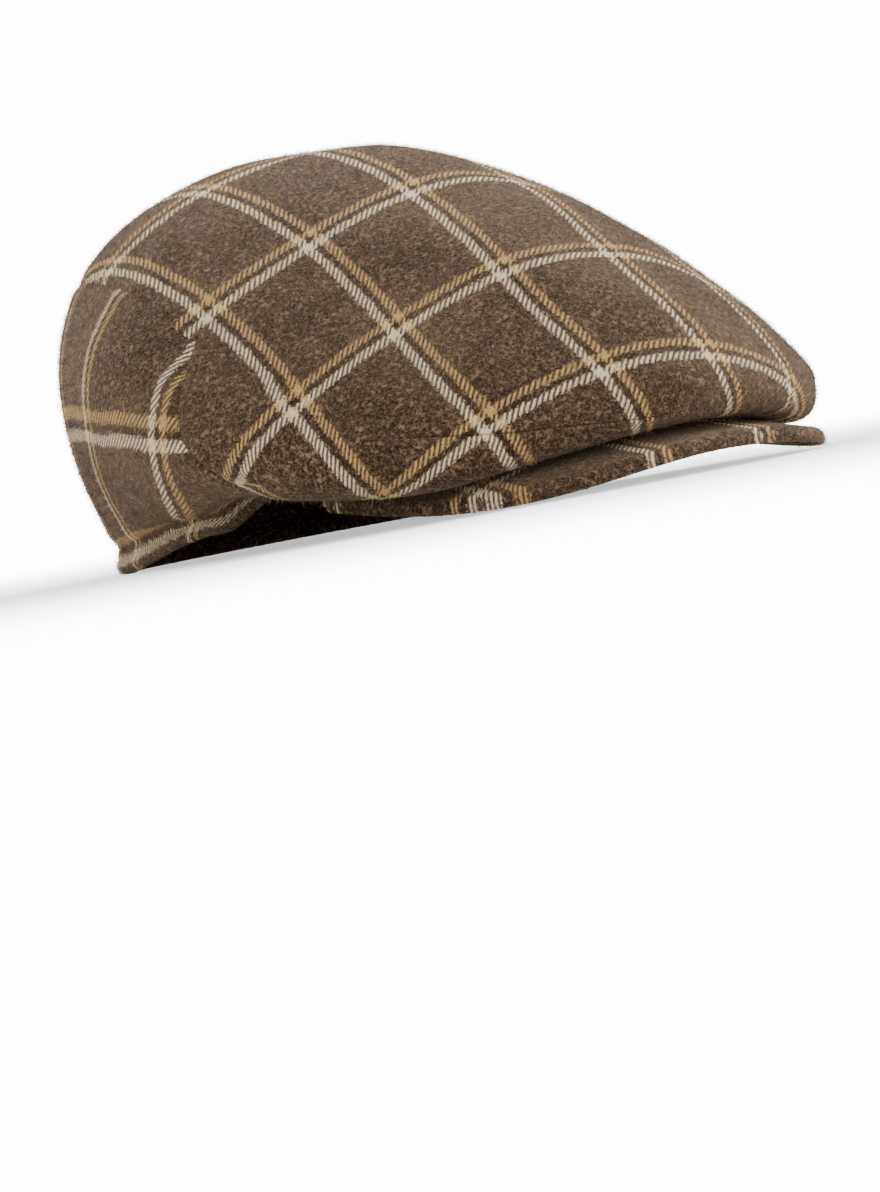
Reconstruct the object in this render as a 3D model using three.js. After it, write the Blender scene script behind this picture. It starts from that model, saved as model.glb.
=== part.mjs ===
// A flat cap of thick wool cloth, standing on its back rim and the two drooping corners of its peak.
// Millimetres. Z is up, the peak points to -Y and the wearer's right is -X.
import * as THREE from 'three';

// Driving sizes
const CROWN_HEIGHT = 115;      // top of the crown above the floor
const CROWN_REACH = 134;       // from the crown's pole forward to its front fold
const RIM_REACH = 107.5;       // from the pole's axis back to the head opening's edge
const POLE_Y = 11.6;           // the pole stands this far behind the middle of the cap
const TOP_SLOPE = 0.152;       // the crown's top falls this much per millimetre forward
const WALL = 2.2;              // cloth and lining together
const RIM_LIFT = 7.6;          // the rim's sides stand this far off the floor
const HEM_HEIGHT = 4.6;        // upright hem round the sides and back
const SEAM_GAP = 0.7;          // between two panels that are sewn together
const REST_GAP = 0.6;          // between the peak and the crown that lies on it
const PEAK_HALF_WIDTH = 75.5;
const PEAK_NOSE = 128.9;       // the peak's front edge, forward of the middle
const PEAK_TIP = 23.4;         // where the peak's sides run into the rim, forward of the middle
const PEAK_BOXINESS = 2.95;    // 2 would be an ellipse in plan
const PEAK_END = 0.96;         // share of the edge curve at which the peak stops
const PEAK_INNER_TURN = 59;    // direction at which its inner edge stops
const PEAK_TILT = 0.195;       // fall per millimetre forward
const PEAK_DROOP = 14.8;       // its sides hang this far below its middle
const PEAK_THICKNESS = 5;      // at the middle
const TIP_THICKNESS = 3.2;     // at the ends
const PEAK_TUCK = 0.5;         // its inner edge reaches this far inside the rim's outer face
const LIP = 6;                 // the top cloth is rolled this far under the edge
const LIP_SHARE = 0.6;         // and at most this share of the peak's width
const UNDER_CLOTH = 1.0;
const UNDER_GAP = 0.4;         // round the cloth that is let into the underside
const UNDER_MARGIN = 0.3;      // that cloth stops this far short of the peak's inner edge

// The crown's form by direction, from the front round to the back. Lengths are shares of the sizes above.
// reach: pole to bulge; bulge: the bulge's height; top and side: how full the curves above the bulge are;
// rim: pole's axis to the opening; under, tuck and lift: how the cloth turns in below the bulge.
const CROWN_FORM = [
  { turn: 0, reach: 1.0, bulge: 0.19, top: 0.43, side: 0.27, rim: 0.914, under: 0.85, tuck: 0.85, lift: 0 },
  { turn: 45, reach: 0.93, bulge: 0.2, top: 0.5, side: 0.08, rim: 0.86, under: 0.85, tuck: 0.8, lift: 0 },
  { turn: 90, reach: 0.82, bulge: 0.39, top: 0.42, side: 0.45, rim: 0.744, under: 0.7, tuck: 0.5, lift: 0.02 },
  { turn: 135, reach: 0.768, bulge: 0.455, top: 0.7, side: 0.62, rim: 0.862, under: 0.5, tuck: 0.35, lift: 0.25 },
  { turn: 180, reach: 0.875, bulge: 0.38, top: 0.68, side: 0.72, rim: 1.0, under: 0.5, tuck: 0.4, lift: 0.35 },
];

// Where the panels meet. Down the crown, t is 0 at the pole, 1 at the bulge, 2 at the hem, 2.5 at its foot.
// Directions are in degrees off the front.
const TOP_SEAM = 0.64;         // t of the seam between the top panel and the side panels
const CORNER_DIP = 0.04;       // the seam is this much lower at its rounded corner
const CORNER_TURN = 75;        // direction at which that seam turns down to the rim
const CORNER_ROUND = 18;       // the corner is rounded over this much turn
const FOOT_TURN = 65;          // direction at which the seam reaches the rim
const SEAM_SWINGS = [0.85, 1.55];  // between these t it passes from the one direction to the other
const HEM_START = 2;
const HEM_END = 2.5;

// Where the crown passes from lying on the peak to standing on the floor
const LEAVES_PEAK = [63, 88];
const REACHES_FLOOR = [90, 138];
const HEM_GROWS = [58, 82];
const PEAK_THINS = [25, 62];
const OVERHANG_FROM = 12;      // this far inside the peak's side the crown stops following its droop
const OVERHANG_EASE = 8;

// Fineness of the surfaces
const FRONT_COLUMNS = 22;
const SIDE_COLUMNS = 16;
const UPPER_ROWS = 8;
const LOWER_STEPS = [0.64, 0.76, 0.88, 1.0, 1.14, 1.28, 1.42, 1.56, 1.7, 1.85, 2.0];
const HEM_STEPS = [2.25, 2.5];
const PEAK_STATIONS = 36;

const DEGREE = Math.PI / 180;

function smoothStep(from, to, value) {
  const share = Math.min(Math.max((value - from) / (to - from), 0), 1);
  return share * share * (3 - 2 * share);
}

function bezier(a, b, c, d, share) {
  const rest = 1 - share;
  return a * rest ** 3 + 3 * b * rest * rest * share + 3 * c * rest * share * share + d * share ** 3;
}

// A column of the table at any direction: the even curve of cosines through its rows
function formAt(column, turn) {
  const spans = CROWN_FORM.length - 1;
  let value = 0;
  for (let wave = 0; wave <= spans; wave += 1) {
    let weight = 0;
    CROWN_FORM.forEach((row, index) => {
      const half = index === 0 || index === spans ? 0.5 : 1;
      weight += half * row[column] * Math.cos((wave * index * Math.PI) / spans);
    });
    const half = wave === 0 || wave === spans ? 0.5 : 1;
    value += half * (2 / spans) * weight * Math.cos(wave * turn);
  }
  return value;
}

// The peak is a sheet bent like a piece of a tube. This is its underside before it is set on the floor.
function bentSheet(forward, across) {
  return -PEAK_TILT * forward - PEAK_DROOP * (across / PEAK_HALF_WIDTH) ** 2;
}

// The peak's outer edge in plan. Share runs from -1 at one end to 1 at the other.
function peakEdge(share) {
  const angle = (share * Math.PI) / 2;
  const power = 2 / PEAK_BOXINESS;
  return {
    forward: PEAK_TIP + (PEAK_NOSE - PEAK_TIP) * Math.abs(Math.cos(angle)) ** power,
    across: PEAK_HALF_WIDTH * Math.sign(share) * Math.abs(Math.sin(angle)) ** power,
  };
}

function lowestOfEdge() {
  let lowest = Infinity;
  for (let step = 0; step <= 200; step += 1) {
    const edge = peakEdge((step / 200) * PEAK_END);
    lowest = Math.min(lowest, bentSheet(edge.forward, edge.across));
  }
  return lowest;
}

const PEAK_LEVEL = -lowestOfEdge();

function peakUnderside(forward, across) {
  return PEAK_LEVEL + bentSheet(forward, across);
}

function peakThickness(turn) {
  const thins = smoothStep(...PEAK_THINS, Math.abs(turn) / DEGREE);
  return PEAK_THICKNESS + (TIP_THICKNESS - PEAK_THICKNESS) * thins;
}

// The height the crown lies on: the peak's top in front, the rim's foot at the sides and back
function restHeight(turn, radius) {
  const forward = radius * Math.cos(turn) - POLE_Y;
  const across = Math.abs(radius * Math.sin(turn));
  const limit = PEAK_HALF_WIDTH - OVERHANG_FROM;
  const held = across < limit ? across : limit + OVERHANG_EASE * Math.tanh((across - limit) / OVERHANG_EASE);
  const onPeak = peakUnderside(forward, held) + peakThickness(turn) + REST_GAP;
  const degrees = Math.abs(turn) / DEGREE;
  const onFloor = RIM_LIFT * (1 - smoothStep(...REACHES_FLOOR, degrees));
  const share = smoothStep(...LEAVES_PEAK, degrees);
  return onPeak * (1 - share) + onFloor * share;
}

function hemHeight(turn) {
  return HEM_HEIGHT * smoothStep(...HEM_GROWS, Math.abs(turn) / DEGREE);
}

// The crown's outer surface
function crownPoint(turn, t) {
  const reach = CROWN_REACH * formAt('reach', turn);
  const bulge = CROWN_HEIGHT * formAt('bulge', turn);
  const rim = RIM_REACH * formAt('rim', turn);
  let radius;
  let height;
  if (t <= 1) {
    const run = formAt('top', turn) * reach;
    const slope = -TOP_SLOPE * Math.cos(turn);
    radius = bezier(0, run, reach, reach, t);
    const shoulder = bulge + formAt('side', turn) * (CROWN_HEIGHT - bulge);
    height = bezier(CROWN_HEIGHT, CROWN_HEIGHT + slope * run, shoulder, bulge, t);
  } else if (t <= HEM_START) {
    const tuck = rim + formAt('tuck', turn) * (reach - rim);
    radius = bezier(reach, reach, tuck, rim, t - 1);
    const drop = bulge - restHeight(turn, reach) - hemHeight(turn);
    const above = bezier(drop, drop * (1 - formAt('under', turn)), drop * formAt('lift', turn), 0, t - 1);
    height = restHeight(turn, radius) + hemHeight(turn) + above;
  } else {
    radius = rim;
    height = restHeight(turn, rim) + hemHeight(turn) * (1 - (t - HEM_START) / (HEM_END - HEM_START));
  }
  return new THREE.Vector3(-radius * Math.sin(turn), POLE_Y - radius * Math.cos(turn), height);
}

function crownNormal(turn, t) {
  if (t === 0) {
    return new THREE.Vector3(0, -TOP_SLOPE, 1).normalize();
  }
  const step = 0.004;
  const last = hemHeight(turn) > 0 ? HEM_END : HEM_START;
  const along = crownPoint(turn + step, t).sub(crownPoint(turn - step, t));
  const down = crownPoint(turn, Math.min(t + step, last)).sub(crownPoint(turn, t - step));
  return along.cross(down).normalize();
}

// The wall's inner surface. The hem is cut off level at its foot, and the front edge square to the peak.
function crownInside(turn, t) {
  const outer = crownPoint(turn, t);
  const normal = crownNormal(turn, t);
  if (t > HEM_START) {
    const flat = new THREE.Vector3(normal.x, normal.y, 0).normalize();
    return outer.addScaledVector(flat, -WALL);
  }
  return outer.addScaledVector(normal, -WALL);
}

function meshFrom(points, faces, material, name) {
  const geometry = new THREE.BufferGeometry();
  const numbers = points.flatMap((p) => [p.x, p.y, p.z]);
  geometry.setAttribute('position', new THREE.Float32BufferAttribute(numbers, 3));
  geometry.setIndex(faces.flat());
  geometry.computeVertexNormals();
  const mesh = new THREE.Mesh(geometry, material);
  mesh.name = name;
  return mesh;
}

// A sheet of cloth with a wall, from a grid of places. Row 0 may be one point.
// Cells that aren't kept are left out.
function sheetMesh(grid, name, material) {
  const { rows, columns, place, keep, wraps, pole } = grid;
  const points = [];
  const faces = [];
  const ids = new Map();
  function corner(row, column) {
    const around = wraps ? (column + columns) % columns : column;
    const key = pole && row === 0 ? 'pole' : `${row},${around}`;
    if (!ids.has(key)) {
      ids.set(key, points.length);
      const { outer, inner } = place(row, around);
      points.push(outer, inner);
    }
    return ids.get(key);
  }
  function kept(row, column) {
    if (row < 0 || row >= rows || (!wraps && (column < 0 || column >= columns))) {
      return false;
    }
    return keep(row, wraps ? (column + columns) % columns : column);
  }
  for (let row = 0; row < rows; row += 1) {
    for (let column = 0; column < columns; column += 1) {
      if (!kept(row, column)) {
        continue;
      }
      const a = corner(row, column);
      const b = corner(row, column + 1);
      const c = corner(row + 1, column + 1);
      const d = corner(row + 1, column);
      faces.push([a, c, d], [a + 1, d + 1, c + 1]);
      if (a !== b) {
        faces.push([a, b, c], [a + 1, c + 1, b + 1]);
      }
      const sides = [
        [a, b, row - 1, column],
        [b, c, row, column + 1],
        [c, d, row + 1, column],
        [d, a, row, column - 1],
      ];
      for (const [from, to, nextRow, nextColumn] of sides) {
        if (from !== to && !kept(nextRow, nextColumn)) {
          faces.push([to, from, from + 1], [to, from + 1, to + 1]);
        }
      }
    }
  }
  return meshFrom(points, faces, material, name);
}

// A direction brought to between half a turn either way from the front
function wrapped(turn) {
  return Math.atan2(Math.sin(turn), Math.cos(turn));
}

function cornerTurn(t) {
  return (CORNER_TURN + (FOOT_TURN - CORNER_TURN) * smoothStep(...SEAM_SWINGS, t)) * DEGREE;
}

// The seam's t at a direction: level round the back, rounded down to its corner
function seamStep(turn) {
  const degrees = Math.abs(turn) / DEGREE;
  return TOP_SEAM + CORNER_DIP * (1 - smoothStep(CORNER_TURN, CORNER_TURN + CORNER_ROUND, degrees));
}

const SEAM_SHARE = SEAM_GAP / 2 / CROWN_REACH;

// The top panel covers the whole top, and the front down to the opening
function topPanel(material) {
  const upper = Array.from({ length: UPPER_ROWS }, (_, index) => (TOP_SEAM * index) / UPPER_ROWS);
  const steps = upper.concat(LOWER_STEPS);
  const columns = FRONT_COLUMNS + 2 * SIDE_COLUMNS;
  function turnAt(t, column) {
    const edge = cornerTurn(t) - (t >= TOP_SEAM ? SEAM_SHARE : 0);
    if (column <= FRONT_COLUMNS) {
      return edge * ((2 * column) / FRONT_COLUMNS - 1);
    }
    const back = 2 * (Math.PI - edge);
    return edge + (back * (column - FRONT_COLUMNS)) / (2 * SIDE_COLUMNS);
  }
  function place(row, column) {
    const turn = turnAt(steps[row], column);
    const alongBack = row === UPPER_ROWS && (column === 0 || column >= FRONT_COLUMNS);
    const upper = (steps[row] / TOP_SEAM) * seamStep(wrapped(turn)) - (alongBack ? SEAM_SHARE : 0);
    const t = row <= UPPER_ROWS ? upper : steps[row];
    return { outer: crownPoint(turn, t), inner: crownInside(turn, t) };
  }
  const keep = (row, column) => row < UPPER_ROWS || column < FRONT_COLUMNS;
  const grid = { rows: steps.length - 1, columns, place, keep, wraps: true, pole: true };
  return sheetMesh(grid, 'crown_top', material);
}

// A side panel runs from the top panel's corner back to the seam at the centre back
function sidePanel(side, name, material) {
  const steps = LOWER_STEPS.concat(HEM_STEPS);
  function place(row, column) {
    const share = side < 0 ? column / SIDE_COLUMNS : 1 - column / SIDE_COLUMNS;
    const front = cornerTurn(steps[row]) + SEAM_SHARE;
    const back = Math.PI - SEAM_SHARE;
    const turn = -side * (front + (back - front) * share);
    const t = row === 0 ? seamStep(turn) + SEAM_SHARE : steps[row];
    return { outer: crownPoint(turn, t), inner: crownInside(turn, t) };
  }
  const keep = () => true;
  const grid = { rows: steps.length - 1, columns: SIDE_COLUMNS, place, keep, wraps: false, pole: false };
  return sheetMesh(grid, name, material);
}

// One cross-section of the peak: from its inner edge out over the top, round its edge and back under it
function peakSection(share) {
  const edge = peakEdge(share * PEAK_END);
  const turn = share * PEAK_INNER_TURN * DEGREE;
  const rim = RIM_REACH * formAt('rim', turn) - PEAK_TUCK;
  const inner = { forward: rim * Math.cos(turn) - POLE_Y, across: rim * Math.sin(turn) };
  const width = Math.hypot(edge.forward - inner.forward, edge.across - inner.across);
  const middle = Math.atan2(edge.across, edge.forward + POLE_Y);
  return { edge, inner, width, thickness: peakThickness(middle) };
}

// A place on the peak: inset from its outer edge and height above its underside
function peakPlace(section, inset, height) {
  const share = inset / section.width;
  const forward = section.edge.forward + (section.inner.forward - section.edge.forward) * share;
  const across = section.edge.across + (section.inner.across - section.edge.across) * share;
  return new THREE.Vector3(-across, -forward, peakUnderside(forward, across) + height);
}

// Closed skin round a row of sections, each a loop of the same number of points
function loopedMesh(sections, name, material) {
  const count = sections[0].length;
  const points = sections.flat();
  const faces = [];
  for (let station = 0; station + 1 < sections.length; station += 1) {
    for (let index = 0; index < count; index += 1) {
      const next = (index + 1) % count;
      const a = station * count + index;
      const b = station * count + next;
      faces.push([a, a + count, b + count], [a, b + count, b]);
    }
  }
  const first = sections[0].map((_, index) => index);
  const last = first.map((index) => points.length - count + index);
  closeEnd(first, true, faces);
  closeEnd(last, false, faces);
  return meshFrom(points, faces, material, name);
}

// Closes an end: top and bottom of a section are joined across its width
function closeEnd(ids, forwards, faces) {
  let low = 0;
  let high = ids.length - 1;
  while (high - low >= 2) {
    const [a, b, c] = [ids[low], ids[low + 1], ids[high]];
    faces.push(forwards ? [a, b, c] : [a, c, b]);
    low += 1;
    if (high - low >= 2) {
      const [d, e, f] = [ids[low], ids[high - 1], ids[high]];
      faces.push(forwards ? [d, e, f] : [d, f, e]);
      high -= 1;
    }
  }
}

function peak(material) {
  const sections = [];
  for (let station = 0; station <= PEAK_STATIONS; station += 1) {
    const section = peakSection((2 * station) / PEAK_STATIONS - 1);
    const { width, thickness } = section;
    const lip = Math.min(LIP, width * LIP_SHARE);
    const recess = UNDER_CLOTH + UNDER_GAP;
    const roll = thickness * 0.5;
    const loop = [
      [width, thickness], [width * 0.66, thickness],
      [width * 0.33 + roll * 0.67, thickness], [roll, thickness],
      [roll * 0.3, thickness * 0.88], [0, thickness * 0.6],
      [0, thickness * 0.35], [roll * 0.3, thickness * 0.1],
      [roll, 0], [lip, 0], [lip, recess], [lip + (width - lip) * 0.4, recess], [width, recess],
    ];
    sections.push(loop.map(([inset, height]) => peakPlace(section, inset, height)));
  }
  return loopedMesh(sections, 'peak', material);
}

// The smooth cloth let into the peak's underside
function underCloth(material) {
  const sections = [];
  for (let station = 0; station <= PEAK_STATIONS; station += 1) {
    const section = peakSection(((2 * station) / PEAK_STATIONS - 1) * 0.985);
    const { width } = section;
    const outer = Math.min(LIP, width * LIP_SHARE) + UNDER_GAP;
    const insets = [width - UNDER_MARGIN, outer + (width - outer) * 0.5, outer];
    const over = insets.map((inset) => [inset, UNDER_CLOTH]);
    const beneath = insets.map((inset) => [inset, 0]).reverse();
    sections.push(over.concat(beneath).map(([inset, height]) => peakPlace(section, inset, height)));
  }
  return loopedMesh(sections, 'peak_under_cloth', material);
}

const wool = new THREE.MeshStandardMaterial({ color: 0x6b5844, roughness: 0.95, metalness: 0 });
const brushed = new THREE.MeshStandardMaterial({ color: 0x84735f, roughness: 0.95, metalness: 0 });

const cap = new THREE.Group();
cap.name = 'flat_cap';
cap.add(topPanel(wool));
cap.add(sidePanel(-1, 'side_panel_right', wool.clone()));
cap.add(sidePanel(1, 'side_panel_left', wool.clone()));
cap.add(peak(wool.clone()));
cap.add(underCloth(brushed));

export default cap;
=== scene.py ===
"""The looks of a flat cap of thick plaid wool that rests on the floor, built round its solids."""

import math

import bpy
import numpy as np
from mathutils import Matrix, Vector


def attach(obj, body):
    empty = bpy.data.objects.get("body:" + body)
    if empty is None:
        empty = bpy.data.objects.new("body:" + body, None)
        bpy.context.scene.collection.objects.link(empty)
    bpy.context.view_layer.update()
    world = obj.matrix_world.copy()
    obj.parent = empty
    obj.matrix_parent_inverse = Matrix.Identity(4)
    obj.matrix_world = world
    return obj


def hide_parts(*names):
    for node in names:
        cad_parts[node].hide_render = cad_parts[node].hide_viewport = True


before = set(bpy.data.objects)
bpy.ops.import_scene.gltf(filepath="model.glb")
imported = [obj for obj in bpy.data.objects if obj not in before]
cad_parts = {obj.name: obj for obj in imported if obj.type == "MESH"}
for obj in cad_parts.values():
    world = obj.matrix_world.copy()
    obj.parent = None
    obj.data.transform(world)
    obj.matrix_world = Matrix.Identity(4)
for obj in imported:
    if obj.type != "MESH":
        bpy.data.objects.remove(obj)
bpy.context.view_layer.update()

MM = 0.001
DEGREE = math.pi / 180

# The part's sizes in millimetres, as its source names them
CROWN_HEIGHT = 115
CROWN_REACH = 134
RIM_REACH = 107.5
POLE_Y = 11.6
TOP_SLOPE = 0.152
WALL = 2.2
RIM_LIFT = 7.6
HEM_HEIGHT = 4.6
REST_GAP = 0.6
PEAK_HALF_WIDTH = 75.5
PEAK_NOSE = 128.9
PEAK_TIP = 23.4
PEAK_BOXINESS = 2.95
PEAK_END = 0.96
PEAK_INNER_TURN = 59
PEAK_TILT = 0.195
PEAK_DROOP = 14.8
PEAK_THICKNESS = 5
TIP_THICKNESS = 3.2
PEAK_TUCK = 0.5
LIP = 6
LIP_SHARE = 0.6
UNDER_CLOTH = 1.0
UNDER_GAP = 0.4
UNDER_MARGIN = 0.3
UNDER_RECESS = UNDER_CLOTH + UNDER_GAP

# Where the crown passes from lying on the peak to standing on the floor, in degrees off the front
LEAVES_PEAK = (63, 88)
REACHES_FLOOR = (90, 138)
HEM_GROWS = (58, 82)
PEAK_THINS = (25, 62)
OVERHANG_FROM = 12
OVERHANG_EASE = 8

# How finely the pieces are divided
TOP_UPPER_ROWS = 54
TOP_LOWER_ROWS = 104
TOP_FRONT_COLUMNS = 150
TOP_BACK_COLUMNS = 130
SIDE_ROWS = 88
SIDE_HEM_ROWS = 16
SIDE_COLUMNS = 120
PEAK_SECTIONS = 241
PEAK_TOP_STEPS = 12
PEAK_EDGE_STEPS = 17
UNDER_SECTIONS = 161
UNDER_STEPS = 10

# The crown's form by direction, from the front round to the back in steps of 45 degrees. Lengths are
# shares of the sizes above. reach: pole to bulge; bulge: the bulge's height; top and side: how full
# the curves above the bulge are; rim: pole's axis to the opening; under, tuck and lift: how the cloth
# turns in below the bulge.
CROWN_FORM = {
    "reach": [1.0, 0.93, 0.82, 0.768, 0.875],
    "bulge": [0.19, 0.2, 0.39, 0.455, 0.38],
    "top": [0.43, 0.5, 0.42, 0.7, 0.68],
    "side": [0.27, 0.08, 0.45, 0.62, 0.72],
    "rim": [0.914, 0.86, 0.744, 0.862, 1.0],
    "under": [0.85, 0.85, 0.7, 0.5, 0.5],
    "tuck": [0.85, 0.8, 0.5, 0.35, 0.4],
    "lift": [0, 0, 0.02, 0.25, 0.35],
}

# Where the panels meet. Down the crown, t is 0 at the pole, 1 at the bulge, 2 at the hem, 2.5 at its
# foot. Directions are in degrees off the front.
TOP_SEAM = 0.64
CORNER_DIP = 0.04
FRONT_START = TOP_SEAM + CORNER_DIP
CORNER_TURN = 75
CORNER_ROUND = 18
FOOT_TURN = 65
SEAM_SWINGS = (0.85, 1.55)
HEM_START = 2.0
HEM_END = 2.5
SEAM_GAP = 0.7
SEAM_SHARE = SEAM_GAP / 2 / CROWN_REACH
NORMAL_STEP = 0.004

# Small forms that only the looks have, in millimetres. Places down the crown are values of t.
SEAM_CLOSED = 0.06
SEAM_GROOVE = {"depth": 0.5, "width": 1.3}
SEAM_SWELL = {"height": 0.2, "at": 4.5, "width": 3}
SEAM_PUCKER = {"height": 0.12, "length": 7, "width": 5}
CREASE_ROW = 0.29
CREASE_LEVEL = 0.9
CREASE_DROPS = {"side": 0.11, "side_turns": (44, 20), "middle": 0.15, "middle_turns": (24, 4)}
CREASE_ENDS = {"near": (43, 37), "far": (-2, 8)}
CREASE_HELD = (40, 56)
CREASE_WIDTH = 0.0065
CREASE_DEPTH = 1.15
CREASE_ROLL = {"height": 0.75, "at": 7, "width": 6}
HEM_RELIEF_TURNS = (60, 80)
HEM_CREASE = {"at": 1.9, "width": 0.055, "depth": 1.3}
HEM_ROLL = {"from": 1.93, "length": 0.6, "height": 1.3}
HEM_BAG = {"at": 1.66, "width": 0.13, "height": 1.1, "ends": (85, 120)}
HEM_ROUND = 1.2
HEM_ROUND_INSIDE = 1.3
HEM_ROUND_START = 2.3
HEM_TURNED_UP = 1.1
HEM_TURNS_UP = (1.9, 2.05)
LUMP_MARGIN = 14
TOP_LUMPS_END = (1.2, 1.8)
SIDE_LUMPS_END = (1.75, 1.95)
PEAK_TOP_REACH = 0.03
PEAK_FOLD = 0.25
PEAK_END_ROUND = 0.03
PEAK_END_LEFT = 0.12
UNDER_SWELL = 0.25
UNDER_END = 0.985

# The plaid, in millimetres across each set of stripes
LONG_REPEAT = 40
CROSS_REPEAT = 50
WHITE_WIDTH = 3.1
GOLD_WIDTH = 2.9
GOLD_OFFSET = 5.4
TWILL_STEP = 2.1
BETWEEN_STRIPES = (0.45, 0.45)

# The top panel's stripes, by how far ahead of the pole and to the wearer's right of it a place lies
# over the cloth, in units of 100 mm
TOP_UNIT = 100
TOP_LONG = {"start": 3.29, "right": -2.55, "ahead": 0.48, "both": 0.22, "right_cubed": 0.05}
TOP_LONG_FRONT = {"from": 0.9, "squared": -0.68}
TOP_CROSS = {"start": -0.85, "ahead": 1.5, "ahead_squared": 0.21, "right": 0.23, "right_squared": 0.2}

# The last long stripe, which leaves the seam where a cross stripe meets it: degrees and millimetres
LAST_STRIPE_TURN = (50, 64)
LAST_STRIPE_FALL = (125, 140)
LAST_STRIPE_BEND = (157, 163)
LAST_STRIPE_ABOVE = 0.08
LAST_STRIPE_BELOW = -0.23

# The side panel's stripes, by millimetres below the seam and degrees round the crown
HEM_STRIPE = 4.2
MIDDLE_STRIPE = 48.5
MIDDLE_RISE = 16
MIDDLE_RISE_TURN = (66, 98)
ABOVE_MIDDLE = 54
UPRIGHT_START = 75
UPRIGHT_SPACING = 22
UPRIGHT_WIDER_TOP = {"by": 5, "within": 14}
UPRIGHT_WIDER_LOW = {"by": 8, "from": 40, "to": 80}
SLANT_TOP = {"by": 4.6, "to": 22}
SLANT_LOW = {"by": 18, "at": 91, "power": 3.4}
BACK_STRIPE = 126
BACK_STRIPE_NUMBER = 2
BACK_SPACING = 24
BACK_BLEND = (120, 156)

# The peak's stripes, in millimetres
PEAK_STRIPE_ACROSS = 27
PEAK_STRIPE_AHEAD = 50
PEAK_STRIPE_TURN = 0.12
PEAK_TURN_CENTRE = 127
PEAK_REPEAT = 41


def smooth_step(start, end, value):
    share = np.clip((value - start) / (end - start), 0, 1)
    return share * share * (3 - 2 * share)


def hump(value, middle, width):
    return np.exp(-(((value - middle) / width) ** 2))


def bezier(a, b, c, d, share):
    rest = 1 - share
    return a * rest**3 + 3 * b * rest * rest * share + 3 * c * rest * share * share + d * share**3


def form_at(column, turn):
    """A column of the crown's table at any direction: the even curve of cosines through its rows."""
    rows = CROWN_FORM[column]
    spans = len(rows) - 1
    value = 0
    for wave in range(spans + 1):
        weight = sum(
            (0.5 if index in (0, spans) else 1) * row * math.cos(wave * index * math.pi / spans)
            for index, row in enumerate(rows)
        )
        value = value + (0.5 if wave in (0, spans) else 1) * (2 / spans) * weight * np.cos(wave * turn)
    return value


def bent_sheet(forward, across):
    return -PEAK_TILT * forward - PEAK_DROOP * (across / PEAK_HALF_WIDTH) ** 2


def peak_edge(share):
    angle = share * math.pi / 2
    power = 2 / PEAK_BOXINESS
    forward = PEAK_TIP + (PEAK_NOSE - PEAK_TIP) * np.abs(np.cos(angle)) ** power
    return forward, PEAK_HALF_WIDTH * np.sign(share) * np.abs(np.sin(angle)) ** power


PEAK_LEVEL = -bent_sheet(*peak_edge(np.linspace(0, PEAK_END, 201))).min()


def peak_underside(forward, across):
    return PEAK_LEVEL + bent_sheet(forward, across)


def peak_thickness(turn):
    thins = smooth_step(*PEAK_THINS, np.abs(turn) / DEGREE)
    return PEAK_THICKNESS + (TIP_THICKNESS - PEAK_THICKNESS) * thins


def rest_height(turn, radius):
    """The height that the crown lies on: the peak's top in front, the rim's foot at the sides and back."""
    forward = radius * np.cos(turn) - POLE_Y
    across = np.abs(radius * np.sin(turn))
    limit = PEAK_HALF_WIDTH - OVERHANG_FROM
    eased = limit + OVERHANG_EASE * np.tanh((across - limit) / OVERHANG_EASE)
    held = np.where(across < limit, across, eased)
    on_peak = peak_underside(forward, held) + peak_thickness(turn) + REST_GAP
    degrees = np.abs(turn) / DEGREE
    on_floor = RIM_LIFT * (1 - smooth_step(*REACHES_FLOOR, degrees))
    share = smooth_step(*LEAVES_PEAK, degrees)
    return on_peak * (1 - share) + on_floor * share


def hem_height(turn):
    return HEM_HEIGHT * smooth_step(*HEM_GROWS, np.abs(turn) / DEGREE)


def crown_point(turn, t):
    """The crown's outer surface, in millimetres. t is 0 at the pole, 1 at the bulge, 2 at the hem."""
    turn, t = np.broadcast_arrays(turn, t)
    reach = CROWN_REACH * form_at("reach", turn)
    bulge = CROWN_HEIGHT * form_at("bulge", turn)
    rim = RIM_REACH * form_at("rim", turn)
    run = form_at("top", turn) * reach
    slope = -TOP_SLOPE * np.cos(turn)
    upper, lower = np.clip(t, 0, 1), np.clip(t - 1, 0, 1)
    shoulder = bulge + form_at("side", turn) * (CROWN_HEIGHT - bulge)
    tuck = rim + form_at("tuck", turn) * (reach - rim)
    radius_up = bezier(0, run, reach, reach, upper)
    height_up = bezier(CROWN_HEIGHT, CROWN_HEIGHT + slope * run, shoulder, bulge, upper)
    radius_low = bezier(reach, reach, tuck, rim, lower)
    hem = hem_height(turn)
    drop = bulge - rest_height(turn, reach) - hem
    above = bezier(drop, drop * (1 - form_at("under", turn)), drop * form_at("lift", turn), 0, lower)
    height_low = rest_height(turn, radius_low) + hem + above
    height_hem = rest_height(turn, rim) + hem * (1 - (t - HEM_START) / (HEM_END - HEM_START))
    radius = np.where(t <= 1, radius_up, radius_low)
    height = np.where(t <= 1, height_up, np.where(t <= HEM_START, height_low, height_hem))
    return np.stack([-radius * np.sin(turn), POLE_Y - radius * np.cos(turn), height], -1)


def unit(vectors):
    return vectors / np.maximum(np.linalg.norm(vectors, axis=-1, keepdims=True), 1e-9)


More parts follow.
